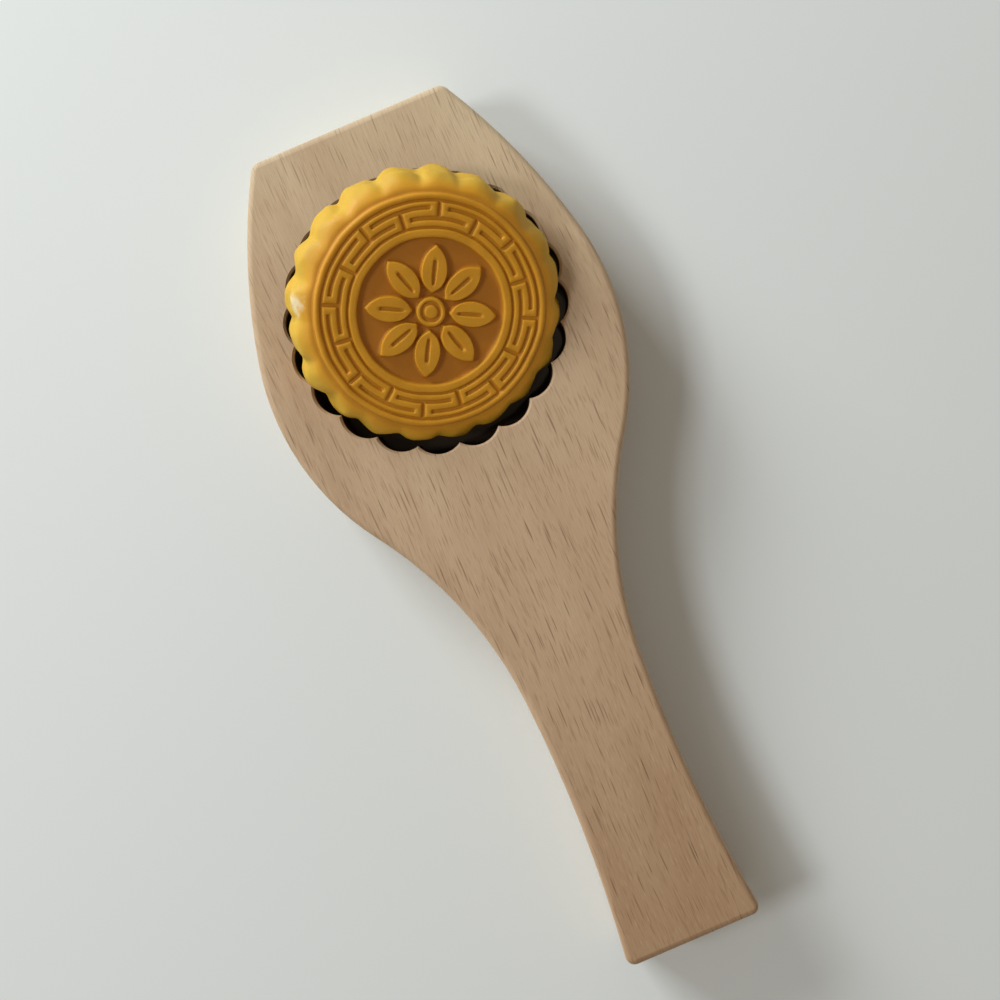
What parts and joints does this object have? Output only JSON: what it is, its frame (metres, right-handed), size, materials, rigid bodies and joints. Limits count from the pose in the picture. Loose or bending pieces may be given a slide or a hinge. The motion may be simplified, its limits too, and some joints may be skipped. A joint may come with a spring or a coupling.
{
  "type": "wooden cake mold",
  "caption": "Hand-held wooden mold board with a scalloped, relief-carved cavity and a waisted handle, with a pressed round cake lying loose and tilted in the cavity.",
  "frame": {"origin": "middle of the board's length and width on its underside", "axes": "+Y towards the head with the cavity, -Y towards the handle end, +Z out of the cavity's mouth"},
  "size_m": [0.086, 0.21, 0.0423],
  "materials": {
    "beech": "dry, worn and fine-flecked",
    "dough": "soft satin pastry"
  },
  "bodies": {
    "mold": {"mold_board": "beech"},
    "cake": {"mooncake": "dough"}
  },
  "joints": [
    {"name": "cake_lift", "type": "slide", "parent": "mold", "child": "cake", "axis": [0, 0, 1], "range_m": [0, 0.04]}
  ]
}
